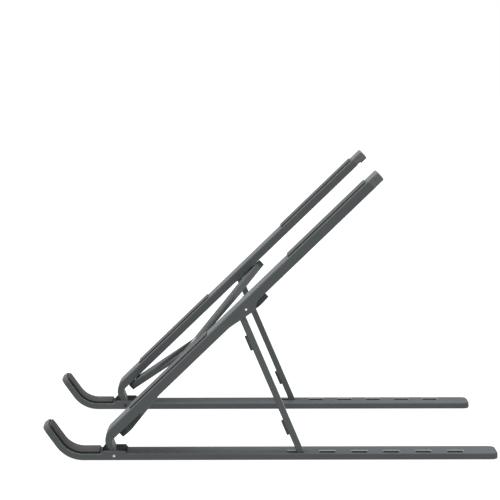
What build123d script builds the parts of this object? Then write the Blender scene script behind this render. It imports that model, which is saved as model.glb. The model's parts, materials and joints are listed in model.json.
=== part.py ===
from build123d import *

import os
from math import asin, atan2, cos, degrees, hypot, radians, sin, sqrt, tan

# Folding laptop stand, in millimetres and degrees. +X runs from the hooks to the rear, +Z is up,
# and the origin is on the table, midway between the hook tips, the rear ends and the two sides.
# The right side (-Y) is modelled, and the left side is its mirror image.

# Overall
overall_length = 250.9
overall_width = 184.0
arm_tilt = 44.0

# Base rail
rail_width = 22.0
rail_thickness = 3.5
rail_edge_chamfer = 0.35
rail_corner_radius = 4.0
hook_angle = 54.3
hook_inner_radius = 15.0
hook_straight = 12.8
hinge_to_bend = 16.8

# Hinge at the front of the rail
hinge_pin_diameter = 1.8
hinge_height = 2.35
ear_thickness = 1.6
ear_half_length = 7.0
ear_rise = 1.5
ear_chamfer = 1.2
well_floor = 1.2
knuckle_wall = 0.7
knuckle_room = 0.9

# Leg slots in the rail
slot_count = 6
slot_pitch = 17.7
slot_length = 9.2
slot_room = 0.7
slot_depth = 1.8
slot_corner = 0.8
slot_heel_gap = 0.05

# Silicone on the rail
hook_pad_margin = 1.2
hook_pad_sunk = 0.8
hook_pad_proud = 1.2
hook_pad_tip_margin = 0.7
hook_pad_end_margin = 0.6
hook_pad_groove = 0.3
hook_pad_corner = 2.8
foot_length = 42.0
foot_width = 12.0
foot_sunk = 0.4
foot_proud = 0.4
foot_front_start = 16.0
foot_rear_margin = 8.0
foot_corner = 2.0

# Arm: a channel with a bay for the leg on its outer half and a slide track on its inner half
arm_low = 6.85
arm_thickness = 5.45
inner_rise = 0.7
arm_edge_chamfer = 0.6
roof_thickness = 1.2
wall_thickness = 1.2
web_thickness = 1.2
leg_bay_width = 6.9
neck_front = 4.9
neck_rear = 1.0
neck_straight_start = 6.6
neck_bend_radius = 9.5
neck_corner_radius = 1.5
neck_foot_radius = 5.0
bay_start = 11.0
arm_past_track = 13.5
cap_length = 7.0
cap_notch_depth = 0.9
cap_notch_length = 2.2
cap_tongue = 2.5
cap_end_radius = 1.0
cap_seat = 0.1
belly_start = 95.0
belly_crest = 112.0
belly_end = 116.5
belly_depth = 2.9
belly_radius = 1.6

# Silicone on the arm
arm_pad_margin = 1.4
arm_pad_length = 59.0
arm_pad_sunk = 0.4
arm_pad_proud = 0.8
arm_pad_corner = 1.5
lower_pad_start = 24.0
upper_pad_end_margin = 1.5

# Leg
leg_pin_diameter = 1.6
leg_pin_along = 108.6
leg_slope = 66.85
leg_thickness = 3.5
leg_offset = 3.7
leg_eye_radius = 2.3
leg_eye_gap = 1.05
leg_shoulder = 1.5
leg_edge_chamfer = 0.3
leg_rest_gap = 0.1
tooth_length = 1.5
tooth_depth = 0.75
bumper_length = 8.5
bumper_width = 4.4
bumper_proud = 1.4
bumper_sunk = 0.6
bumper_chamfer = 0.3
upper_bumper_along = 18.2
lower_bumper_along = 69.4

# Cross bars, scissored between the two arms
bar_front_along = 15.2
bar_rear_along = 116.9
bar_width = 9.0
bar_thickness = 3.8
bar_front_margin = 6.4
bar_rear_margin = 3.5
bar_corner = 3.0
bar_edge_chamfer = 0.3
folded_spacing = 16.0
rivet_diameter = 3.0
rivet_head_diameter = 5.6
rivet_head_height = 1.0
centre_head_height = 0.6
slide_pin_diameter = 2.4
slide_pin_head_diameter = 4.4
slide_pin_head_height = 0.5
bush_neck_diameter = 3.5
bush_flange_room = 0.75
bush_flange_height = 1.0

# Clearances
press_clearance = 0.02
running_clearance = 0.05
slide_clearance = 0.2
side_clearance = 0.2
leg_clearance = 0.25
bar_clearance = 0.75
lap_clearance = 0.3
lap_overshoot = 0.5
lap_gap = 0.2
head_clearance = 0.1
seat_clearance = 0.05
tiny = 0.001

# Places worked out from the sizes above
tilt = radians(arm_tilt)
hook = radians(hook_angle)
slope = radians(-leg_slope)
hinge_radius = hinge_pin_diameter / 2
leg_pin_radius = leg_pin_diameter / 2
rivet_radius = rivet_diameter / 2
rivet_head_radius = rivet_head_diameter / 2
slide_pin_radius = slide_pin_diameter / 2
slide_pin_head_radius = slide_pin_head_diameter / 2

rail_bottom = -hinge_height
rail_top = rail_bottom + rail_thickness
hook_outer_radius = hook_inner_radius + rail_thickness
hook_corner = hinge_to_bend + hook_outer_radius * sin(hook) + hook_straight * cos(hook)
hook_reach = hook_corner - rail_edge_chamfer * min(cos(hook), sin(hook))
rail_rear = overall_length - hook_reach
hinge_x = hook_reach - overall_length / 2
hinge_z = foot_proud + hinge_height
knuckle_radius = hinge_radius + knuckle_wall
foot_starts = (foot_front_start, rail_rear - foot_rear_margin - foot_length)

arm_inset = ear_thickness + side_clearance
arm_width = rail_width - 2 * arm_inset
arm_top = arm_low + arm_thickness
inner_low = arm_low + inner_rise
roof_under = arm_top - roof_thickness
track_floor = inner_low + wall_thickness
leg_bay_inset = arm_inset + wall_thickness
web_inset = leg_bay_inset + leg_bay_width
track_inset = web_inset + web_thickness
track_width = rail_width - arm_inset - wall_thickness - track_inset
pivot_inset = track_inset + track_width / 2
bush_flange_diameter = track_width - 2 * bush_flange_room

# The outer half of the arm reaches lower than its inner half: (inner side, width, underside)
outer_half = (web_inset, web_inset - arm_inset, arm_low)
inner_half = (rail_width - arm_inset, rail_width - arm_inset - web_inset, inner_low)

bar_top = inner_low - bar_clearance
bar_bottom = bar_top - bar_thickness
bar_middle = (bar_top + bar_bottom) / 2
pivot_spacing = overall_width - 2 * pivot_inset
bar_reach = bar_rear_along - bar_front_along
bar_pitch = hypot(bar_reach, pivot_spacing)
bar_centre_along = bar_front_along + bar_reach / 2
cross_angle = degrees(atan2(pivot_spacing, bar_reach))
folded_angle = degrees(asin(folded_spacing / bar_pitch))
folded_rear_along = bar_front_along + sqrt(bar_pitch**2 - folded_spacing**2)

arm_length = folded_rear_along + arm_past_track
channel_end = arm_length - cap_length
arm_pad_width = arm_width - 2 * arm_pad_margin
arm_pad_starts = (lower_pad_start, channel_end - upper_pad_end_margin - arm_pad_length)

leg_pin_height = roof_under - leg_eye_gap - leg_eye_radius
leg_width = leg_bay_width - 2 * leg_clearance
leg_inset = leg_bay_inset + leg_clearance
leg_centre = leg_inset + leg_width / 2
leg_front = -leg_offset - leg_thickness / 2
leg_back = -leg_offset + leg_thickness / 2
slot_width = leg_width + 2 * slot_room

along_arm = Vector(cos(tilt), 0, sin(tilt))
above_arm = Vector(-sin(tilt), 0, cos(tilt))


def side_y(inset):
    """Y of a point that lies this far inwards from the right rail's outer face."""
    return inset - overall_width / 2


def side_plane(inset):
    """Upright plane through the hinge axis: x is rearward, y is up, and its normal is outwards."""
    return Plane(origin=(hinge_x, side_y(inset), hinge_z), x_dir=(1, 0, 0), z_dir=(0, -1, 0))


def arm_plane(inset):
    """The same plane turned to the arm: x is along the arm and y is square to its top."""
    return Plane(origin=(hinge_x, side_y(inset), hinge_z), x_dir=along_arm, z_dir=(0, -1, 0))


def deck_plane(height):
    """Plane parallel to the arms' tops at this height over the hinge axis: x along, y to the left."""
    origin = Vector(hinge_x, 0, hinge_z) + above_arm * height
    return Plane(origin=origin, x_dir=along_arm, z_dir=above_arm)


def from_arm(along, height):
    """A point given in the arm's plane, as a point of the upright side plane."""
    return (along * cos(tilt) - height * sin(tilt), along * sin(tilt) + height * cos(tilt))


leg_pin_place = from_arm(leg_pin_along, leg_pin_height)


def from_leg(along, behind):
    """A point given from the leg's pin, along the leg and behind it, as a point of the side plane."""
    x = leg_pin_place[0] + along * cos(slope) - behind * sin(slope)
    z = leg_pin_place[1] + along * sin(slope) + behind * cos(slope)
    return (x, z)


def leg_end(behind, height):
    """Where the line this far behind the leg's pin comes down to a height, in the side plane."""
    along = (height - leg_pin_place[1] - behind * cos(slope)) / sin(slope)
    return from_leg(along, behind)


leg_sole = rail_top + leg_rest_gap
leg_heel = leg_end(leg_back, leg_sole)
leg_toe = leg_end(leg_front, leg_sole)
leg_tooth = leg_end(leg_front, rail_top - tooth_depth)


def leg_front_plane(along):
    """Plane on the leg's front face: x is down the leg, and its normal is forwards."""
    x, z = from_leg(along, leg_front)
    return Plane(
        origin=(hinge_x + x, side_y(leg_centre), hinge_z + z),
        x_dir=(cos(slope), 0, sin(slope)),
        z_dir=(sin(slope), 0, -cos(slope)),
    )


def hook_strip(margin, under, over, shorter):
    """A strip on the hook's inner face, between two heights over it, with rounded tip corners."""
    rear = -ear_half_length - hook_pad_end_margin - shorter
    reach = hook_straight - hook_pad_tip_margin - shorter
    with BuildPart() as strip:
        with BuildSketch(side_plane(rail_width - margin)):
            with BuildLine():
                sides = []
                for height in (under, over):
                    flat = Line((rear, rail_top + height), (-hinge_to_bend, rail_top + height))
                    bend = JernArc(flat @ 1, (-1, 0), hook_inner_radius - height, -hook_angle)
                    straight = PolarLine(bend @ 1, reach, direction=bend % 1)
                    sides.append((flat @ 0, straight @ 1))
                for end in (0, 1):
                    Line(sides[0][end], sides[1][end])
            make_face()
        extrude(amount=rail_width - 2 * margin)
        upright = strip.edges().filter_by(lambda edge: abs(edge.length - (over - under)) < tiny)
        fillet(upright.group_by(Axis.Z)[-1], hook_pad_corner)
    return strip


def on_upper_side(edge):
    """Whether an edge runs along the upper side of the arm or its cap, or along the front of the neck."""
    lengthwise = abs((edge @ 0).Y - (edge @ 1).Y) < tiny
    place = arm_plane(0).to_local_coords(edge.center())
    ahead = hinge_x - edge.center().X
    return lengthwise and (place.Y > roof_under or ahead > knuckle_radius)


def shared_radii(wall, *bends):
    """Radii of the (radius, turn) bends at a wall's two ends, cut down if the wall is short for both."""
    needed = sum(radius * tan(turn / 2) for radius, turn in bends)
    share = min(1, (wall - tiny) / needed)
    return [radius * share for radius, turn in bends]


def bar_plane(side, height):
    """Plane along a cross bar, from the crossing. Side 1 runs from right front to left rear."""
    turn = radians(side * cross_angle)
    return Plane(
        origin=deck_plane(height).from_local_coords((bar_centre_along, 0)),
        x_dir=along_arm * cos(turn) + Vector(0, 1, 0) * sin(turn),
        z_dir=above_arm,
    )


def turned_rivet(along, steps, bore=0):
    """A stepped round piece square to the arm, from (radius, lower height, upper height) steps."""
    with BuildPart() as rivet:
        for radius, low, high in steps:
            with BuildSketch(deck_plane(low)):
                with Locations((along, side_y(pivot_inset))):
                    Circle(radius)
                    if bore:
                        Circle(bore, mode=Mode.SUBTRACT)
            extrude(amount=high - low)
    return rivet


def write(piece, name):
    """Label a finished piece and write it as its own file."""
    piece.part.label = name
    export_step(piece.part, f"parts/{name}.step")


def mirrored(piece):
    """The left-hand twin of a right-hand piece."""
    with BuildPart() as twin:
        mirror(piece.part, about=Plane.XZ)
    return twin


def write_pair(piece, name):
    """Write a right-hand piece and its left-hand twin."""
    write(piece, f"right_{name}")
    write(mirrored(piece), f"left_{name}")


os.makedirs("parts", exist_ok=True)

# Base rail: a flat bar bent up into the hook, with hinge ears, a neck well and a row of leg slots
pad_recess = hook_strip(hook_pad_margin, -hook_pad_sunk, hook_pad_proud, 0)
with BuildPart() as base_rail:
    with BuildLine(side_plane(rail_width / 2)) as rail_path:
        rail_flat = Line((rail_rear, rail_bottom), (-hinge_to_bend, rail_bottom))
        rail_bend = JernArc(rail_flat @ 1, (-1, 0), hook_outer_radius, -hook_angle)
        PolarLine(rail_bend @ 1, hook_straight, direction=rail_bend % 1)
    with BuildSketch(Plane(rail_path.line @ 0, x_dir=(0, -1, 0), z_dir=(-1, 0, 0))):
        Rectangle(rail_width, rail_thickness, align=(Align.CENTER, Align.MIN))
    sweep(path=rail_path.line)
    fillet(base_rail.edges().filter_by(lambda edge: abs(edge.length - rail_thickness) < tiny),
           rail_corner_radius)
    plain_edges = (rail_thickness, rail_width)
    rims = base_rail.edges().filter_by(
        lambda edge: min(abs(edge.length - length) for length in plain_edges) > tiny)
    chamfer(rims, rail_edge_chamfer)
    add(pad_recess.part, mode=Mode.SUBTRACT)
    with BuildSketch(side_plane(rail_width)):
        with BuildLine():
            ear_foot = rail_bottom + rail_edge_chamfer
            ear_crest = ear_half_length - ear_chamfer
            Polyline(
                (-ear_half_length, ear_foot), (ear_half_length, ear_foot), (ear_half_length, rail_top),
                (ear_crest, rail_top + ear_rise), (-ear_crest, rail_top + ear_rise),
                (-ear_half_length, rail_top), close=True)
        make_face()
    extrude(amount=rail_width)
    with BuildSketch(side_plane(rail_width - ear_thickness)):
        with Locations((0, rail_bottom + well_floor)):
            Rectangle(2 * ear_half_length, rail_thickness + ear_rise, align=(Align.CENTER, Align.MIN))
        with Locations((0, rail_bottom)):
            Rectangle(2 * (knuckle_radius + knuckle_room), 2 * rail_thickness)
    extrude(amount=rail_width - 2 * ear_thickness, mode=Mode.SUBTRACT)
    with BuildSketch(side_plane(rail_width)):
        Circle(hinge_radius + press_clearance)
    extrude(amount=rail_width, mode=Mode.SUBTRACT)
    with BuildSketch(Plane.XY.offset(hinge_z + rail_top)) as slots:
        first_slot = leg_heel[0] + slot_heel_gap - slot_length / 2
        with Locations((hinge_x + first_slot + slot_pitch * (slot_count - 1) / 2, side_y(leg_centre))):
            with GridLocations(slot_pitch, slot_width, slot_count, 1):
                Rectangle(slot_length, slot_width)
        chamfer(slots.vertices(), slot_corner)
    extrude(amount=-slot_depth, mode=Mode.SUBTRACT)
    with BuildSketch(Plane.XY.offset(foot_proud)) as foot_recesses:
        for start in foot_starts:
            with Locations((hinge_x + start + foot_length / 2, side_y(rail_width / 2))):
                Rectangle(foot_length, foot_width)
        chamfer(foot_recesses.vertices(), foot_corner)
    extrude(amount=foot_sunk, mode=Mode.SUBTRACT)
write_pair(base_rail, "base_rail")

# Hook pad: a silicone strip that follows the hook, with a narrow groove all round it
hook_pad = hook_strip(hook_pad_margin + hook_pad_groove, -hook_pad_sunk, hook_pad_proud, hook_pad_groove)
write_pair(hook_pad, "hook_pad")

# Feet: two thin silicone strips stuck into the underside of each rail
for start, end_name in zip(foot_starts, ("front", "rear")):
    with BuildPart() as foot:
        with BuildSketch(Plane.XY) as foot_outline:
            with Locations((hinge_x + start + foot_length / 2, side_y(rail_width / 2))):
                Rectangle(foot_length - 2 * seat_clearance, foot_width - 2 * seat_clearance)
            chamfer(foot_outline.vertices(), foot_corner)
        extrude(amount=foot_proud + foot_sunk)
    write_pair(foot, f"{end_name}_foot")

# Hinge pin: a steel pin pressed through both ears, on which the arm's knuckle turns
with BuildPart() as hinge_pin:
    with BuildSketch(side_plane(rail_width)):
        Circle(hinge_radius)
    extrude(amount=rail_width)
write_pair(hinge_pin, "hinge_pin")

# Arm: a channel that bends down at the front into the hinge neck
neck_crest = (arm_top - neck_front * sin(tilt)) / cos(tilt)
neck_bend = radians(90 - arm_tilt)
front_turn = atan2(neck_front - knuckle_radius, neck_straight_start)
rear_turn = atan2(neck_rear + knuckle_radius, neck_straight_start)
front_foot, front_bend = shared_radii(
    neck_crest - neck_straight_start,
    (neck_foot_radius, front_turn), (neck_bend_radius, neck_bend))
with BuildPart() as support_arm:
    for inset, width, low in (outer_half, inner_half):
        neck_shoulder = (low - neck_rear * sin(tilt)) / cos(tilt)
        rear_foot, rear_corner = shared_radii(
            neck_shoulder - neck_straight_start,
            (neck_foot_radius, rear_turn), (neck_corner_radius, neck_bend))
        with BuildSketch(side_plane(inset)):
            with BuildLine():
                outline = FilletPolyline(
                    (-knuckle_radius, 0), (-neck_front, neck_straight_start), (-neck_front, neck_crest),
                    from_arm(channel_end, arm_top), from_arm(channel_end, low),
                    (-neck_rear, neck_shoulder), (-neck_rear, neck_straight_start), (knuckle_radius, 0),
                    radius=[front_foot, front_bend, 0, 0, rear_corner, rear_foot])
                Line(outline @ 1, outline @ 0)
            make_face()
            Circle(knuckle_radius)
        extrude(amount=width)
    chamfer(support_arm.edges().filter_by(on_upper_side), arm_edge_chamfer)
    with BuildSketch(arm_plane(leg_bay_inset)):
        with BuildLine():
            belly = FilletPolyline(
                (belly_start, arm_low), (belly_crest, arm_low - belly_depth), (belly_end, arm_low),
                radius=belly_radius)
            Polyline(belly @ 1, (belly_end, track_floor), (belly_start, track_floor), belly @ 0)
        make_face()
    extrude(amount=wall_thickness)
    with BuildSketch(arm_plane(web_inset)):
        with Locations(((bay_start + channel_end) / 2, roof_under)):
            Rectangle(channel_end - bay_start, 2 * arm_thickness, align=(Align.CENTER, Align.MAX))
    extrude(amount=leg_bay_width, mode=Mode.SUBTRACT)
    with BuildSketch(arm_plane(track_inset + track_width)):
        with Locations(((bay_start + channel_end) / 2, (track_floor + roof_under) / 2)):
            Rectangle(channel_end - bay_start, roof_under - track_floor)
    extrude(amount=track_width, mode=Mode.SUBTRACT)
    with BuildSketch(deck_plane(inner_low)):
        with Locations((bar_front_along, side_y(pivot_inset))):
            Circle(rivet_radius + running_clearance)
        with Locations(((bar_rear_along + folded_rear_along) / 2, side_y(pivot_inset))):
            SlotCenterToCenter(folded_rear_along - bar_rear_along, bush_neck_diameter + 2 * slide_clearance)
    extrude(amount=wall_thickness, mode=Mode.SUBTRACT)
    with BuildSketch(deck_plane(arm_top)):
        for start in arm_pad_starts:
            with Locations((start + arm_pad_length / 2, side_y(rail_width / 2))):
                RectangleRounded(arm_pad_length, arm_pad_width, arm_pad_corner)
    extrude(amount=-arm_pad_sunk, mode=Mode.SUBTRACT)
    with BuildSketch(side_plane(track_inset)):
        with Locations(leg_pin_place):
            Circle(leg_pin_radius + press_clearance)
    extrude(amount=track_inset, mode=Mode.SUBTRACT)
    with BuildSketch(side_plane(rail_width)):
        Circle(hinge_radius + running_clearance)
    extrude(amount=rail_width, mode=Mode.SUBTRACT)
write_pair(support_arm, "support_arm")

# End cap: a plastic plug with one tongue in each bay and a notch where its inner half meets the channel
with BuildPart() as end_cap:
    with BuildSketch(arm_plane(rail_width - arm_inset)) as cap_outline:
        with Locations(((channel_end + arm_length) / 2, (arm_low + arm_top) / 2)):
            Rectangle(cap_length, arm_thickness)
        fillet(cap_outline.vertices().group_by(Axis.X)[-1], cap_end_radius)
    extrude(amount=arm_width)
    chamfer(end_cap.edges().filter_by(on_upper_side), arm_edge_chamfer)
    inset, width, low = inner_half
    with BuildSketch(arm_plane(inset)):
        with Locations((channel_end + cap_notch_length / 2, arm_low)):
            Rectangle(cap_notch_length, 2 * (low - arm_low + cap_notch_depth))
    extrude(amount=width, mode=Mode.SUBTRACT)
    leg_bay_tongue = (leg_bay_inset, leg_bay_width, arm_low + cap_notch_depth)
    track_tongue = (track_inset, track_width, track_floor)
    for inset, width, low in (leg_bay_tongue, track_tongue):
        with BuildSketch(arm_plane(inset + width - cap_seat)):
            with Locations((channel_end - cap_tongue / 2, (low + roof_under) / 2)):
                Rectangle(cap_tongue, roof_under - low - 2 * cap_seat)
        extrude(amount=width - 2 * cap_seat)
write_pair(end_cap, "end_cap")

# Arm pads: silicone strips let into the arm's top
for start, end_name in zip(arm_pad_starts, ("lower", "upper")):
    with BuildPart() as arm_pad:
        with BuildSketch(deck_plane(arm_top - arm_pad_sunk)):
            with Locations((start + arm_pad_length / 2, side_y(rail_width / 2))):
                RectangleRounded(arm_pad_length - 2 * seat_clearance, arm_pad_width - 2 * seat_clearance,
                                 arm_pad_corner - seat_clearance)
        extrude(amount=arm_pad_sunk + arm_pad_proud)
    write_pair(arm_pad, f"{end_name}_pad")

# Leg: an eye on the pin, a straight bar in front of it, and a tooth that drops into a slot of the rail
with BuildPart() as prop_leg:
    with BuildSketch(side_plane(leg_inset + leg_width)):
        with Locations(leg_pin_place):
            Circle(leg_eye_radius)
        with Locations(from_leg(leg_shoulder, -leg_offset)):
            Circle(leg_thickness / 2)
        make_hull()
        with BuildLine():
            tooth_back = leg_tooth[0] + tooth_length
            Polyline(
                from_leg(leg_shoulder, leg_front), leg_toe, leg_tooth, (tooth_back, leg_tooth[1]),
                (tooth_back, leg_sole), leg_heel, from_leg(leg_shoulder, leg_back), close=True)
        make_face()
    extrude(amount=leg_width)
    chamfer(prop_leg.edges().filter_by(Plane.XZ).sort_by(SortBy.LENGTH)[-4:], leg_edge_chamfer)
    with BuildSketch(side_plane(leg_inset + leg_width)):
        with Locations(leg_pin_place):
            Circle(leg_pin_radius + running_clearance)
    extrude(amount=leg_width, mode=Mode.SUBTRACT)
    for along in (upper_bumper_along, lower_bumper_along):
        with BuildSketch(leg_front_plane(along)):
            Rectangle(bumper_length, bumper_width)
        extrude(amount=-bumper_sunk, mode=Mode.SUBTRACT)
write_pair(prop_leg, "prop_leg")

# Leg pin: a steel pin pressed into the arm's outer wall and web
with BuildPart() as leg_pin:
    with BuildSketch(side_plane(track_inset)):
        with Locations(leg_pin_place):
            Circle(leg_pin_radius)
    extrude(amount=track_inset - arm_inset)
write_pair(leg_pin, "leg_pin")

# Bumpers: rubber blocks sunk into the leg's front face, which keep the folded halves apart
for along, end_name in ((upper_bumper_along, "upper"), (lower_bumper_along, "lower")):
    with BuildPart() as bumper:
        with BuildSketch(leg_front_plane(along).offset(-bumper_sunk)):
            Rectangle(bumper_length - 2 * seat_clearance, bumper_width - 2 * seat_clearance)
        extrude(amount=bumper_sunk + bumper_proud)
        chamfer(bumper.faces().sort_by(Axis.X)[0].edges(), bumper_chamfer)
    write_pair(bumper, f"{end_name}_bumper")

# Cross bars: flat bars that scissor between the arms. Each loses half its thickness at the crossing,
# between slanted shoulders that leave room for the other bar from wide open to folded.
half_width = bar_width / 2
lap_half = half_width + lap_clearance
lap_edge = half_width + lap_overshoot
open_turn = radians(2 * cross_angle)
folded_turn = radians(2 * folded_angle)
lap_near = (lap_half - lap_edge * cos(open_turn)) / sin(open_turn)
lap_knee = (lap_half - lap_near * sin(folded_turn)) / cos(folded_turn)
lap_far = (lap_half + lap_edge * cos(folded_turn)) / sin(folded_turn)
for side, name, lap_floor in ((1, "upper", bar_bottom), (-1, "lower", bar_middle - lap_gap / 2)):
    with BuildPart() as cross_bar:
        with BuildSketch(bar_plane(side, bar_bottom)):
            with Locations(((bar_rear_margin - bar_front_margin) / 2, 0)):
                RectangleRounded(bar_front_margin + bar_pitch + bar_rear_margin, bar_width, bar_corner)
        extrude(amount=bar_thickness)
        chamfer(cross_bar.faces().sort_by(Axis((0, 0, 0), above_arm))[-1].edges(), bar_edge_chamfer)
        with BuildSketch(bar_plane(side, lap_floor)):
            with BuildLine():
                Polyline(
                    (lap_near, side * lap_edge), (lap_near, side * lap_knee), (lap_far, -side * lap_edge),
                    (-lap_near, -side * lap_edge), (-lap_near, -side * lap_knee), (-lap_far, side * lap_edge),
                    close=True)
            make_face()
        extrude(amount=(bar_thickness + lap_gap) / 2, mode=Mode.SUBTRACT)
        centre_head_low = bar_top - centre_head_height if side > 0 else bar_bottom
        for place, radius, low, depth in (
                (0, rivet_radius + running_clearance, bar_bottom, bar_thickness),
                (0, rivet_head_radius + running_clearance, centre_head_low, centre_head_height),
                (-bar_pitch / 2, rivet_radius + press_clearance, bar_bottom, bar_thickness),
                (bar_pitch / 2, slide_pin_radius + press_clearance, bar_bottom, bar_thickness)):
            with BuildSketch(bar_plane(side, low)):
                with Locations((place, 0)):
                    Circle(radius)
            extrude(amount=depth, mode=Mode.SUBTRACT)
    write(cross_bar, f"cross_bar_{name}")

# Centre rivet: flush heads in the bars' outer faces
with BuildPart() as cross_centre_rivet:
    for radius, low, high in (
            (rivet_head_radius, bar_bottom, bar_bottom + centre_head_height),
            (rivet_radius, bar_bottom, bar_top),
            (rivet_head_radius, bar_top - centre_head_height, bar_top)):
        with BuildSketch(bar_plane(1, low)):
            Circle(radius)
        extrude(amount=high - low)
write(cross_centre_rivet, "cross_centre_rivet")

# Front rivets: each is pressed into a bar's front end and turns in the floor of an arm's track bay
rivet_seat = track_floor + head_clearance
front_rivet = turned_rivet(bar_front_along, (
    (rivet_radius, bar_bottom, rivet_seat),
    (rivet_head_radius, rivet_seat, rivet_seat + rivet_head_height)))
write_pair(front_rivet, "front_rivet")

# Slide pins and bushes: each bar's rear end hangs from a nylon bush that runs along the arm's track
flange_low = track_floor + slide_clearance
flange_high = flange_low + bush_flange_height
slide_pin = turned_rivet(bar_rear_along, (
    (slide_pin_radius, bar_bottom, flange_high),
    (slide_pin_head_radius, flange_high, flange_high + slide_pin_head_height)))
write_pair(slide_pin, "slide_pin")
slide_bush = turned_rivet(bar_rear_along, (
    (bush_neck_diameter / 2, bar_top, flange_low),
    (bush_flange_diameter / 2, flange_low, flange_high)), bore=slide_pin_radius + press_clearance)
write_pair(slide_bush, "slide_bush")
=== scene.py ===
import json
from math import acos, atan2, cos, pi, radians, sin

import bmesh
import bpy
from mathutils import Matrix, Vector


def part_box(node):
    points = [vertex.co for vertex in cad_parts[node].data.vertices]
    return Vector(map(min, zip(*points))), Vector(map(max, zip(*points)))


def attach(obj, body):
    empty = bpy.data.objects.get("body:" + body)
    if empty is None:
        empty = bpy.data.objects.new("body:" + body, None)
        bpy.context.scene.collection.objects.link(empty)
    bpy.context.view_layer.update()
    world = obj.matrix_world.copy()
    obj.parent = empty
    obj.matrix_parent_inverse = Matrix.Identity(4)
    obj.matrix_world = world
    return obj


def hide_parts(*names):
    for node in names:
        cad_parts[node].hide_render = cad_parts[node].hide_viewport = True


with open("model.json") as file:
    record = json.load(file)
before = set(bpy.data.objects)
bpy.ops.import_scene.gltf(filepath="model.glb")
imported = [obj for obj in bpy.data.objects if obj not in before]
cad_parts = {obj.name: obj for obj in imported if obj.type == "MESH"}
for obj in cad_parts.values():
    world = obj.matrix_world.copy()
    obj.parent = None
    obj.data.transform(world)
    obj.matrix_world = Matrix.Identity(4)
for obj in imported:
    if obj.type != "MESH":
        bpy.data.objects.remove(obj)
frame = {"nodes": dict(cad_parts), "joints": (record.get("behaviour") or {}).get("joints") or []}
nodes = frame["nodes"]
joints = {joint["name"]: joint for joint in frame["joints"]}
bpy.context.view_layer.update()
bpy.ops.object.select_all(action="DESELECT")

# Base rails: two flat aluminium bars that lie on the table, each bent up into a hook at its front.
# They are drawn, bent and milled, then bead-blasted and anodised dark grey, which leaves a satin skin
# with a fine grain and faint draw lines. Edges are paler, partly from wear and partly as painted highlight,
# and the pocket walls carry a pale painted highlight.
rail_tones = ((0.049, 0.053, 0.055), (0.061, 0.066, 0.069))
rail_gloss = (0.5, 0.62)
rail_glint = 0.03


def plug(tree, value, socket):
    """Set a socket to a plain value, or link another node's output to it."""
    if isinstance(value, bpy.types.NodeSocket):
        tree.links.new(value, socket)
    else:
        socket.default_value = value


def grow(tree, kind, settings=None, **inputs):
    """Add a shader node. Its inputs are given by name, as plain values or as other nodes' outputs."""
    node = tree.nodes.new("ShaderNode" + kind)
    for name, value in (settings or {}).items():
        setattr(node, name, value)
    for name, value in inputs.items():
        plug(tree, value, node.inputs[name.replace("_", " ")])
    return node


def reckon(tree, operation, *values, kind="Math", result="Value"):
    """What a Math or VectorMath node makes of its values."""
    node = grow(tree, kind, {"operation": operation})
    for value, socket in zip(values, node.inputs):
        plug(tree, value, socket)
    return node.outputs[result]


def parts_of(tree, vector):
    """The X, Y and Z of a vector, by name."""
    return grow(tree, "SeparateXYZ", Vector=vector).outputs


def noise(tree, place, size, detail, **inputs):
    """Soft random patches of about a size."""
    return grow(tree, "TexNoise", Vector=place, Scale=1 / size, Detail=detail, **inputs).outputs["Fac"]


def mix(tree, share, first, second):
    """Two colours or patterns mixed, with this share of the second."""
    return grow(tree, "MixRGB", Fac=share, Color1=first, Color2=second).outputs["Color"]


def ramp_mask(tree, value, start, full, most=1):
    """A mask that goes from 0 where a value is at its start to its most where the value is full."""
    mask = grow(tree, "MapRange", Value=value, From_Min=start, From_Max=full, To_Max=most)
    return mask.outputs["Result"]


pattern_span = (0.3, 0.7)


def roughness(tree, pattern, gloss):
    """A roughness that follows a pattern from the lowest to the highest of gloss."""
    rough = grow(tree, "MapRange", Value=pattern, From_Min=pattern_span[0], From_Max=pattern_span[1],
                 To_Min=gloss[0], To_Max=gloss[1])
    return rough.outputs["Result"]


def blank_material(name):
    """A new material: its node tree, its shader and its Object coordinates."""
    material = bpy.data.materials.new(name)
    material.use_nodes = True
    tree = material.node_tree
    place = grow(tree, "TexCoord").outputs["Object"]
    return material, tree, tree.nodes["Principled BSDF"], place


def join_shader(tree, shader, colour, rough, bump):
    """Link a material's colour, roughness and bump to its shader."""
    tree.links.new(colour, shader.inputs["Base Color"])
    tree.links.new(rough, shader.inputs["Roughness"])
    tree.links.new(bump.outputs["Normal"], shader.inputs["Normal"])


tone_spread = 0.2


def two_tone(tree, pattern, tones):
    """Colours that run from the first tone to the second as the pattern goes through its middle."""
    ramp = grow(tree, "ValToRGB", Fac=pattern)
    for element, tone, step in zip(ramp.color_ramp.elements, tones, (-tone_spread, tone_spread)):
        element.position = 0.5 + step
        element.color = (*tone, 1)
    return ramp.outputs["Color"]


edge_turn_start = 0.99
edge_turn_full = 0.8
edge_samples = 8


def edge_wear_and_highlight(tree, radius, most):
    """A mask that grows towards the piece's edges, for edge wear and painted edge highlight, and the normal
    that rounds them.
    """
    rounded = grow(tree, "Bevel", {"samples": edge_samples}, Radius=radius).outputs["Normal"]
    flat = grow(tree, "NewGeometry").outputs["Normal"]
    turn = reckon(tree, "DOT_PRODUCT", rounded, flat, kind="VectorMath")
    return ramp_mask(tree, turn, edge_turn_start, edge_turn_full, most), rounded


# The band on the pocket walls that gets a pale painted highlight.
liner_sunk = 0.0008
pocket_room = 0.0008
highlight_depth = 0.0006
highlight_fade = 0.0004
mask_fade = 0.0001
level_slope = 0.7
steep_slope = 0.4


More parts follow.
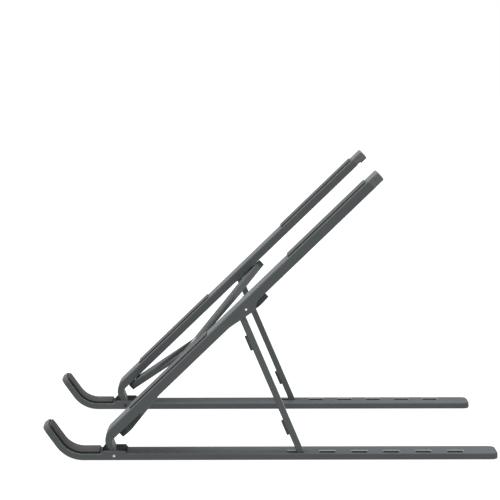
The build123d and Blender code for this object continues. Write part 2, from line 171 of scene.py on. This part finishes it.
def pocket_highlight_mask(tree, place):
    """A mask for a painted highlight: 1 on the steep walls along the rims of the pockets, and 0 elsewhere.
    """
    leg_low, leg_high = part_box("left_prop_leg")
    pocket_middle = (leg_low.y + leg_high.y) / 2
    pocket_reach = (leg_high.y - leg_low.y) / 2 + pocket_room
    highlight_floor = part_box("left_hook_pad")[0].z + liner_sunk - highlight_depth
    spot = parts_of(tree, place)
    from_middle = reckon(tree, "ABSOLUTE", spot["Y"])
    off_pocket = reckon(tree, "ABSOLUTE", reckon(tree, "SUBTRACT", from_middle, pocket_middle))
    looks = parts_of(tree, grow(tree, "NewGeometry").outputs["Normal"])
    rims = ramp_mask(tree, looks["Z"], level_slope, steep_slope)
    for mask in (ramp_mask(tree, off_pocket, pocket_reach + mask_fade, pocket_reach),
                 ramp_mask(tree, spot["X"], leg_low.x, leg_low.x + mask_fade),
                 ramp_mask(tree, spot["Z"], highlight_floor, highlight_floor + highlight_fade)):
        rims = reckon(tree, "MULTIPLY", rims, mask)
    return rims


cloud_size = 0.022
draw_line_size = (0.030, 0.0005, 0.0005)
draw_line_share = 0.35
blast_size = 0.00022
blast_share = 0.25
blast_bump = 0.12
blast_depth = 0.00002
edge_round = 0.0003
# The pale edge tone is partly edge wear and partly painted highlight along the edges.
edge_wear_highlight_most = 0.5
worn_edge_highlight_tone = (0.15, 0.16, 0.165)
# Pale tone of the painted highlight on the pocket walls.
pocket_highlight_tone = (0.50, 0.51, 0.51)


def anodised(name, tones, drawn, gloss, glint, painted_light_mask=None):
    """Blasted and anodised aluminium. Drawn is the turn that lays its faint lines along the bar, gloss its
    lowest and highest roughness, and glint the strength of its reflections. The last argument, if given,
    makes a mask of where a pale painted highlight is laid on."""
    material, tree, shader, place = blank_material(name)
    along = grow(tree, "Mapping", {"vector_type": "TEXTURE"}, Vector=place, Rotation=drawn,
                 Scale=draw_line_size)
    lines = noise(tree, along.outputs["Vector"], size=1, detail=3)
    blast = noise(tree, place, blast_size, detail=2)
    mottle = mix(tree, draw_line_share, noise(tree, place, cloud_size, detail=4), lines)
    grainy = mix(tree, blast_share, mottle, blast)
    worn_and_lit, rounded = edge_wear_and_highlight(tree, edge_round, edge_wear_highlight_most)
    # Paler edges: partly wear, partly painted edge highlight.
    colour = mix(tree, worn_and_lit, two_tone(tree, grainy, tones), (*worn_edge_highlight_tone, 1))
    if painted_light_mask:
        # Pale painted highlight on the pocket walls and rims.
        colour = mix(tree, painted_light_mask(tree, place), colour, (*pocket_highlight_tone, 1))
    bump = grow(tree, "Bump", Strength=blast_bump, Distance=blast_depth, Height=blast, Normal=rounded)
    join_shader(tree, shader, colour, roughness(tree, grainy, gloss), bump)
    shader.inputs["Specular IOR Level"].default_value = glint
    return material


def dress(name, material):
    """Give a piece of the frame its finish."""
    nodes[name].material_slots[0].material = material


sides = ("right", "left")
rail_finish = anodised("rail_anodised", rail_tones, (0, 0, 0), rail_gloss, rail_glint, pocket_highlight_mask)
for side in sides:
    dress(f"{side}_base_rail", rail_finish)

# Hook liners: brown-grey silicone strips let into the hooks, where the laptop's edge rests.
# Each is a flat moulding glued into a shallow recess, so it follows the hook's bend and ends short
# of its tip, with round tip corners and a soft rim.
liner_tones = ((0.014, 0.013, 0.013), (0.020, 0.019, 0.019))
liner_gloss = (0.56, 0.70)
liner_glint = 0.2
liner_thickness = 0.0020
liner_under_radius = 0.0158
liner_bend_angle = radians(54.3)
liner_bend_steps = 18
liner_tip_corner = 0.0028
liner_rim = 0.00045
hinge_to_bend = 0.0168
corner_steps = 6
rim_steps = 3
weld_reach = 0.000001
parallel = 0.99


def only(piece):
    """Select one piece alone and make it the active one."""
    bpy.ops.object.select_all(action="DESELECT")
    piece.select_set(True)
    bpy.context.view_layer.objects.active = piece


def pick(kind, test):
    """In edit mode, select the edges or faces that pass a test, and nothing else."""
    bpy.ops.mesh.select_mode(type={"edges": "EDGE", "faces": "FACE"}[kind])
    bpy.ops.mesh.select_all(action="DESELECT")
    mesh = bmesh.from_edit_mesh(bpy.context.edit_object.data)
    for item in getattr(mesh, kind):
        item.select_set(test(item))
    bmesh.update_edit_mesh(bpy.context.edit_object.data)


def round_edges(test, width, steps):
    """In edit mode, bevel the edges that pass a test."""
    pick("edges", test)
    bpy.ops.mesh.bevel(offset=width, segments=steps, affect="EDGES")


def rim_of(test):
    """A test for the edges that part the faces which pass it from the rest."""
    return lambda edge: sum(test(face) for face in edge.link_faces) == 1


def edge_run(edge):
    """Unit vector along an edge."""
    return (edge.verts[1].co - edge.verts[0].co).normalized()


# Near-black painted shade on the side walls of the liners, strips and feet.
shaded_side_tone = (0.006, 0.006, 0.006)
wall_turn_start = 0.15
wall_turn_full = 0.6
skin_size = 0.0003
skin_share = 0.3
skin_bump = 0.25
skin_depth = 0.00004
dust_size = 0.006
dust_roughness = 0.7
silicone_ior = 1.41


def silicone(name, tones, painted_side_tone, gloss, glint):
    """Matt silicone with a fine moulded skin, dust that pales its top in patches, and painted light and
    shade on the walls that look left or right, in a tone of their own. Gloss is its lowest and highest
    roughness, and glint the strength of its reflections."""
    material, tree, shader, place = blank_material(name)
    skin = noise(tree, place, skin_size, detail=3)
    dust = noise(tree, place, dust_size, detail=6, Roughness=dust_roughness)
    looks = parts_of(tree, grow(tree, "NewGeometry").outputs["Normal"])
    # Walls that look left or right get their own tone: painted shade where it is darker than the top,
    # painted light where it is paler.
    walls = ramp_mask(tree, reckon(tree, "ABSOLUTE", looks["Y"]), wall_turn_start, wall_turn_full)
    tops = two_tone(tree, mix(tree, skin_share, dust, skin), tones)
    colour = mix(tree, walls, tops, (*painted_side_tone, 1))
    bump = grow(tree, "Bump", Strength=skin_bump, Distance=skin_depth, Height=skin)
    join_shader(tree, shader, colour, roughness(tree, dust, gloss), bump)
    shader.inputs["Specular IOR Level"].default_value = glint
    shader.inputs["IOR"].default_value = silicone_ior
    return material


smooth_angle = radians(35)


def finish_piece(piece, material, body, node):
    """Smooth a modelled piece, give it its finish, and let it ride where the plain solid was."""
    only(piece)
    bpy.ops.object.transform_apply(location=True, rotation=True, scale=True)
    bpy.ops.object.shade_smooth_by_angle(angle=smooth_angle)
    piece.data.materials.clear()
    piece.data.materials.append(material)
    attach(piece, body)
    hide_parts(node)


top_least_rise = 0.5
top_most_forward = 0.05
top_most_sideways = 0.1


def on_liner_top(face):
    """Whether a face of the liner looks up from the rail or back from the hook."""
    back, sideways, up = face.normal
    return abs(sideways) < top_most_sideways and back > -top_most_forward and up > top_least_rise


liner_finish = silicone("liner_silicone", liner_tones, shaded_side_tone, liner_gloss, liner_glint)
tip_way = Vector((-cos(liner_bend_angle), 0, sin(liner_bend_angle)))
across_tip = Vector((sin(liner_bend_angle), 0, cos(liner_bend_angle)))
for side in sides:
    low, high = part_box(f"{side}_hook_pad")
    middle = (low.y + high.y) / 2
    bend_x = joints["tilt"]["pos_m"][0] - hinge_to_bend
    bend_centre = (bend_x, middle, low.z + liner_under_radius)
    tip_rise = high.z - low.z - liner_under_radius * (1 - cos(liner_bend_angle))
    tip_run = (tip_rise - liner_thickness * cos(liner_bend_angle)) / sin(liner_bend_angle)
    bpy.ops.mesh.primitive_plane_add(size=1, rotation=(0, pi / 2, 0),
                                     location=(high.x, middle, low.z + liner_thickness / 2))
    liner = bpy.context.object
    liner.name = f"{side}_hook_liner"
    liner.scale = (liner_thickness, high.y - low.y, 1)
    only(liner)
    bpy.ops.object.transform_apply(location=True, rotation=True, scale=True)
    bpy.ops.object.mode_set(mode="EDIT")
    bpy.ops.mesh.select_all(action="SELECT")
    bpy.ops.mesh.extrude_region_move(TRANSFORM_OT_translate={"value": (bend_x - high.x, 0, 0)})
    bpy.ops.mesh.spin(steps=liner_bend_steps, angle=liner_bend_angle, center=bend_centre, axis=(0, -1, 0))
    bpy.ops.mesh.extrude_region_move(TRANSFORM_OT_translate={"value": tip_way * tip_run})
    bpy.ops.mesh.select_all(action="SELECT")
    bpy.ops.mesh.remove_doubles(threshold=weld_reach)
    bpy.ops.mesh.normals_make_consistent(inside=False)
    round_edges(lambda edge: abs(edge_run(edge).dot(across_tip)) > parallel
                and min(vert.co.z for vert in edge.verts) > high.z - 2 * liner_thickness,
                liner_tip_corner, corner_steps)
    round_edges(rim_of(on_liner_top), liner_rim, rim_steps)
    bpy.ops.object.mode_set(mode="OBJECT")
    finish_piece(liner, liner_finish, f"{side}_rail", f"{side}_hook_pad")

# Feet: two dark silicone strips let into the underside of each rail, so that it doesn't slide.
# They are die-cut and glued, with clipped corners and a small round edge where they touch the table.
foot_tones = ((0.018, 0.018, 0.018), (0.027, 0.027, 0.026))
foot_gloss = (0.64, 0.78)
foot_glint = 0.3
foot_corner = 0.002
foot_corner_steps = 1
foot_edge = 0.00015
foot_edge_steps = 2


def block(name, size, place):
    """A box at its place, active and in edit mode, ready to be shaped."""
    bpy.ops.mesh.primitive_cube_add(size=1, location=place)
    piece = bpy.context.object
    piece.name = name
    piece.scale = size
    only(piece)
    bpy.ops.object.transform_apply(location=False, rotation=False, scale=True)
    bpy.ops.object.mode_set(mode="EDIT")
    return piece


def upright(edge):
    """Whether an edge stands along the block's own Z."""
    return abs(edge_run(edge).z) > parallel


def looks_down(face):
    """Whether a face is at the bottom of its block."""
    return face.normal.z < -parallel


foot_finish = silicone("foot_silicone", foot_tones, shaded_side_tone, foot_gloss, foot_glint)
for side in sides:
    for end in ("front", "rear"):
        low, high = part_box(f"{side}_{end}_foot")
        foot = block(f"{side}_{end}_foot_strip", high - low, (low + high) / 2)
        round_edges(upright, foot_corner, foot_corner_steps)
        round_edges(rim_of(looks_down), foot_edge, foot_edge_steps)
        bpy.ops.object.mode_set(mode="OBJECT")
        finish_piece(foot, foot_finish, f"{side}_rail", f"{side}_{end}_foot")

# Hinge pins: bright steel pins pressed through the rail's ears, on which the arms turn.
# Their ends are turned flat, with fine lathe rings, and show as small bright dots on the ears.
# Each is painted dark as shade over its inner half and round the rim of its ends.
pin_tones = ((0.40, 0.41, 0.42), (0.54, 0.54, 0.54))
# Dark tone of the painted shade on the pins' rims and inner halves.
steel_shade_tone = (0.02, 0.022, 0.022)
steel_gloss = (0.22, 0.38)
shade_ring_start = 0.4
pin_shade_fade = 0.0002
smudge_size = 0.0012
lathe_ring = 0.00009
ring_at_scale_one = pi / 10
lathe_wobble = 1.5
lathe_bump = 0.2
lathe_depth = 0.00001


def turned_steel(name, tones, place, turn, radius, shaded_within=0):
    """Turned steel with lathe rings round an axis through a place, and a painted shade ring at this radius.
    Turn lays Z along that axis. It is painted dark all over, as shade, up to a distance from the stand's
    middle."""
    material, tree, shader, coordinates = blank_material(name)
    centred = grow(tree, "Mapping", {"vector_type": "TEXTURE"}, Vector=coordinates, Location=place,
                   Rotation=turn).outputs["Vector"]
    rings = grow(tree, "TexWave", {"wave_type": "RINGS", "rings_direction": "Z"}, Vector=centred,
                 Scale=ring_at_scale_one / lathe_ring, Distortion=lathe_wobble, Detail=2)
    smudge = noise(tree, coordinates, smudge_size, detail=4)
    flat = reckon(tree, "MULTIPLY", centred, (1, 1, 0), kind="VectorMath", result="Vector")
    reach = reckon(tree, "LENGTH", flat, kind="VectorMath")
    # Painted shade: dark towards the pin's edge and all over its shank.
    rim = ramp_mask(tree, reach, shade_ring_start * radius, radius)
    from_middle = reckon(tree, "ABSOLUTE", parts_of(tree, coordinates)["Y"])
    # Painted shade over the part nearer the stand's middle.
    inside = ramp_mask(tree, from_middle, shaded_within, shaded_within - pin_shade_fade)
    dark = reckon(tree, "MAXIMUM", rim, inside)
    colour = mix(tree, dark, two_tone(tree, smudge, tones), (*steel_shade_tone, 1))
    bump = grow(tree, "Bump", Strength=lathe_bump, Distance=lathe_depth, Height=rings.outputs["Fac"])
    join_shader(tree, shader, colour, roughness(tree, smudge, steel_gloss), bump)
    shader.inputs["Metallic"].default_value = 1
    return material


across = (pi / 2, 0, 0)
low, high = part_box("right_hinge_pin")
hinge_steel = turned_steel("hinge_steel", pin_tones, joints["tilt"]["pos_m"], across, (high.z - low.z) / 2,
                           -(low.y + high.y) / 2)
for side in sides:
    dress(f"{side}_hinge_pin", hinge_steel)

# Arms: aluminium channels that carry the laptop, each bent down at its front into the hinge neck.
# They have the same blasted and anodised skin as the rails, with the draw lines along the slope.
arm_tones = ((0.033, 0.038, 0.040), (0.044, 0.050, 0.052))
arm_gloss = (0.45, 0.57)
arm_glint = 0.2
fold_axis = joints["cross_fold"]["axis"]
arm_tilt = atan2(abs(fold_axis[0]), abs(fold_axis[2]))
arm_finish = anodised("arm_anodised", arm_tones, (0, -arm_tilt, 0), arm_gloss, arm_glint)
for side in sides:
    dress(f"{side}_support_arm", arm_finish)

# Rest strips: dark grey silicone let into the arms' tops, two on each arm, where the laptop lies.
# Each is a moulded strip with round corners, a soft rim and a slightly crowned top.
strip_tones = ((0.015, 0.015, 0.014), (0.024, 0.023, 0.022))
strip_gloss = (0.49, 0.63)
strip_glint = 0.3
strip_thickness = 0.0012
strip_corner = 0.00145
strip_rim = 0.0003
strip_crown = 0.00012
strip_crown_margin = 0.0008


def looks_up(face):
    """Whether a face is at the top of its block."""
    return face.normal.z > parallel


strip_finish = silicone("strip_silicone", strip_tones, shaded_side_tone, strip_gloss, strip_glint)
for side in sides:
    for end in ("lower", "upper"):
        low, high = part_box(f"{side}_{end}_pad")
        length = (high.x - low.x - strip_thickness * sin(arm_tilt)) / cos(arm_tilt)
        size = (length, high.y - low.y, strip_thickness)
        strip = block(f"{side}_{end}_rest_strip", size, (low + high) / 2)
        round_edges(upright, strip_corner, corner_steps)
        round_edges(rim_of(looks_up), strip_rim, rim_steps)
        pick("faces", looks_up)
        bpy.ops.transform.translate(value=(0, 0, -strip_crown))
        bpy.ops.mesh.inset(thickness=strip_crown_margin)
        bpy.ops.transform.translate(value=(0, 0, strip_crown))
        bpy.ops.mesh.inset(thickness=strip_rim)
        bpy.ops.object.mode_set(mode="OBJECT")
        strip.rotation_euler = (0, -arm_tilt, 0)
        finish_piece(strip, strip_finish, f"{side}_arm", f"{side}_{end}_pad")

# End caps: plastic plugs pressed into the arms' upper ends.
# Injection-moulded in dark grey, with the fine even grain of a spark-eroded mould.
cap_tones = ((0.060, 0.062, 0.063), (0.078, 0.080, 0.081))
plastic_gloss = (0.5, 0.62)
plastic_glint = 0.1
# Paler plastic edges: partly wear, partly painted edge highlight.
plastic_edge_round = 0.0004
plastic_edge_wear_highlight = 0.15
plastic_cloud_size = 0.003
mould_grain_size = 0.0004
mould_grain_bump = 0.2
mould_grain_depth = 0.00003


def moulded(name, tones):
    """Moulded plastic with an even fine grain."""
    material, tree, shader, place = blank_material(name)
    grain = grow(tree, "TexVoronoi", {"feature": "SMOOTH_F1"}, Vector=place, Scale=1 / mould_grain_size)
    cloud = noise(tree, place, plastic_cloud_size, detail=4)
    worn_and_lit, rounded = edge_wear_and_highlight(tree, plastic_edge_round, plastic_edge_wear_highlight)
    # Paler edges: partly wear, partly painted edge highlight.
    colour = mix(tree, worn_and_lit, two_tone(tree, cloud, tones), (*worn_edge_highlight_tone, 1))
    bump = grow(tree, "Bump", Strength=mould_grain_bump, Distance=mould_grain_depth,
                Height=grain.outputs["Distance"], Normal=rounded)
    join_shader(tree, shader, colour, roughness(tree, cloud, plastic_gloss), bump)
    shader.inputs["Specular IOR Level"].default_value = plastic_glint
    return material


cap_finish = moulded("cap_plastic", cap_tones)
for side in sides:
    dress(f"{side}_end_cap", cap_finish)

# Legs: slim aluminium bars that prop the arms up. An eye at the top turns on a pin in the arm's bay,
# and the foot stands in a pocket of the rail. They have the same anodised skin.
leg_tones = ((0.029, 0.034, 0.036), (0.040, 0.046, 0.048))
leg_gloss = (0.36, 0.48)
leg_glint = 0.3
bumper_places = {}
for end in ("upper", "lower"):
    low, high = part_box(f"right_{end}_bumper")
    bumper_places[end] = (low + high) / 2
leg_run = (bumper_places["lower"] - bumper_places["upper"]).normalized()
leg_lean = atan2(-leg_run.z, leg_run.x)
leg_finish = anodised("leg_anodised", leg_tones, (0, leg_lean, 0), leg_gloss, leg_glint)
for side in sides:
    dress(f"{side}_prop_leg", leg_finish)

# Leg pins: thin bright steel pins across the arms' outer bays, which carry the legs' eyes.
# They are turned, pressed into the arm's outer wall and its web, and show as small dots on its side.
low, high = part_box("right_leg_pin")
leg_steel = turned_steel("leg_pin_steel", pin_tones, joints["right_leg_swing"]["pos_m"], across,
                         (high.z - low.z) / 2)
for side in sides:
    dress(f"{side}_leg_pin", leg_steel)

# Bumpers: dark rubber blocks let into the front of each leg, which keep the folded metal apart.
# They are cut from a moulded strip, so their faces are flat and their outer edges slightly rounded.
bumper_tones = ((0.014, 0.014, 0.014), (0.022, 0.022, 0.022))
# The bumpers' side walls are painted paler than their tops: painted light.
bumper_lit_side_tone = (0.034, 0.034, 0.034)
bumper_gloss = (0.54, 0.68)
bumper_glint = 0.3
bumper_size = (0.0084, 0.0043, 0.002)
bumper_edge = 0.0003
bumper_finish = silicone("bumper_rubber", bumper_tones, bumper_lit_side_tone, bumper_gloss, bumper_glint)
for side in sides:
    for end in ("upper", "lower"):
        low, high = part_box(f"{side}_{end}_bumper")
        bumper = block(f"{side}_{end}_bumper_block", bumper_size, (low + high) / 2)
        round_edges(upright, bumper_edge, rim_steps)
        round_edges(rim_of(looks_down), bumper_edge, rim_steps)
        bpy.ops.object.mode_set(mode="OBJECT")
        bumper.rotation_euler = (0, leg_lean, 0)
        finish_piece(bumper, bumper_finish, f"{side}_leg", f"{side}_{end}_bumper")

# Cross bars: flat aluminium bars that scissor between the arms, half-lapped where they cross.
# They are cut from drawn strip and anodised a little paler than the arms, with a duller skin.
bar_tones = ((0.041, 0.046, 0.047), (0.052, 0.057, 0.058))
bar_gloss = (0.6, 0.75)
bar_glint = 0.05
for name, way in (("upper", 1), ("lower", -1)):
    low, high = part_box(f"cross_bar_{name}")
    swing = acos(min(1, (high.x - low.x) / cos(arm_tilt) / (high.y - low.y)))
    bar_turn = (0, -arm_tilt, way * swing)
    bar_finish = anodised(f"{name}_bar_anodised", bar_tones, bar_turn, bar_gloss, bar_glint)
    dress(f"cross_bar_{name}", bar_finish)

# Rivets and slide pins: bright steel, square to the arms. One rivet joins the bars at their crossing,
# one holds each bar's front end, and a pin at each rear end runs in the arm's track.
steel_tones = ((0.50, 0.51, 0.52), (0.64, 0.64, 0.64))
along_normal = (0, -arm_tilt, 0)
steel_places = {
    "cross_centre_rivet": joints["bar_scissor"]["pos_m"],
    "right_front_rivet": joints["cross_fold"]["pos_m"],
    "left_front_rivet": joints["left_arm_fold"]["pos_m"],
}
for side in sides:
    low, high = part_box(f"{side}_slide_pin")
    steel_places[f"{side}_slide_pin"] = (low + high) / 2
# The rivets and slide pins get the same painted shade ring at their edges.
for name, place in steel_places.items():
    low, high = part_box(name)
    dress(name, turned_steel(f"{name}_steel", steel_tones, place, along_normal, (high.y - low.y) / 2))

# Slide bushes: small flanged bushes on the slide pins, which run along the arms' tracks.
# They are moulded in natural nylon and turn freely on the pins.
nylon_tones = ((0.62, 0.60, 0.55), (0.72, 0.70, 0.65))
bush_finish = moulded("bush_nylon", nylon_tones)
for side in sides:
    dress(f"{side}_slide_bush", bush_finish)

# Studio: a plain white floor and white surroundings. A long narrow light overhead falls between the arms,
# a softer one stands to the left behind the stand, and a weak one fills in from the front.
floor_size = 8
floor_drop = 0.0002
floor_tone = (0.08, 0.08, 0.08, 1)
floor_roughness = 0.9
white = (1, 1, 1, 1)
bpy.ops.mesh.primitive_plane_add(size=floor_size, location=(0, 0, -floor_drop))
floor = bpy.context.object
floor.name = "studio_floor"
floor_paint, _, shader, _ = blank_material("floor_white")
shader.inputs["Base Color"].default_value = floor_tone
shader.inputs["Roughness"].default_value = floor_roughness
shader.inputs["Emission Color"].default_value = white
shader.inputs["Emission Strength"].default_value = 1
floor.data.materials.append(floor_paint)

world = bpy.data.worlds.new("studio_white")
world.use_nodes = True
world.node_tree.nodes["Background"].inputs["Color"].default_value = white
world.node_tree.nodes["Background"].inputs["Strength"].default_value = 1
bpy.context.scene.world = world


def soft_light(name, place, aim, size, power):
    """A soft light of a length and width in metres at a place, turned towards its aim."""
    light = bpy.data.lights.new(name, "AREA")
    light.shape = "RECTANGLE"
    light.size, light.size_y = size
    light.energy = power
    holder = bpy.data.objects.new(name, light)
    holder.location = place
    holder.rotation_euler = (Vector(aim) - Vector(place)).to_track_quat("-Z", "Y").to_euler()
    bpy.context.collection.objects.link(holder)


stand_middle = (0, 0, 0.05)
soft_light("overhead_light", place=(0.2, 0, 1.6), aim=(0.2, 0, 0), size=(2.4, 0.35), power=46)
soft_light("left_light", place=(-1.3, 0.5, 1.2), aim=stand_middle, size=(1.0, 1.0), power=26)
soft_light("front_light", place=(-0.3, -2.4, 0.5), aim=stand_middle, size=(1.5, 1.0), power=19)
bpy.context.scene.view_settings.view_transform = "Standard"

# Camera: far off and a little above, square to the stand's right side, with a long lens, so that the far
# side is only a little smaller than the near one.
camera_place = (-0.02616, -1.43496, 0.26527)
camera_pitch = radians(6.308)
camera_yaw = radians(0.626)
focal_length = 178.26
nearest_seen = 0.1
camera = bpy.data.objects.new("camera", bpy.data.cameras.new("camera"))
camera.data.lens = focal_length
camera.data.clip_start = nearest_seen
camera.location = camera_place
camera.rotation_euler = (pi / 2 - camera_pitch, 0, -camera_yaw)
bpy.context.collection.objects.link(camera)
bpy.context.scene.camera = camera
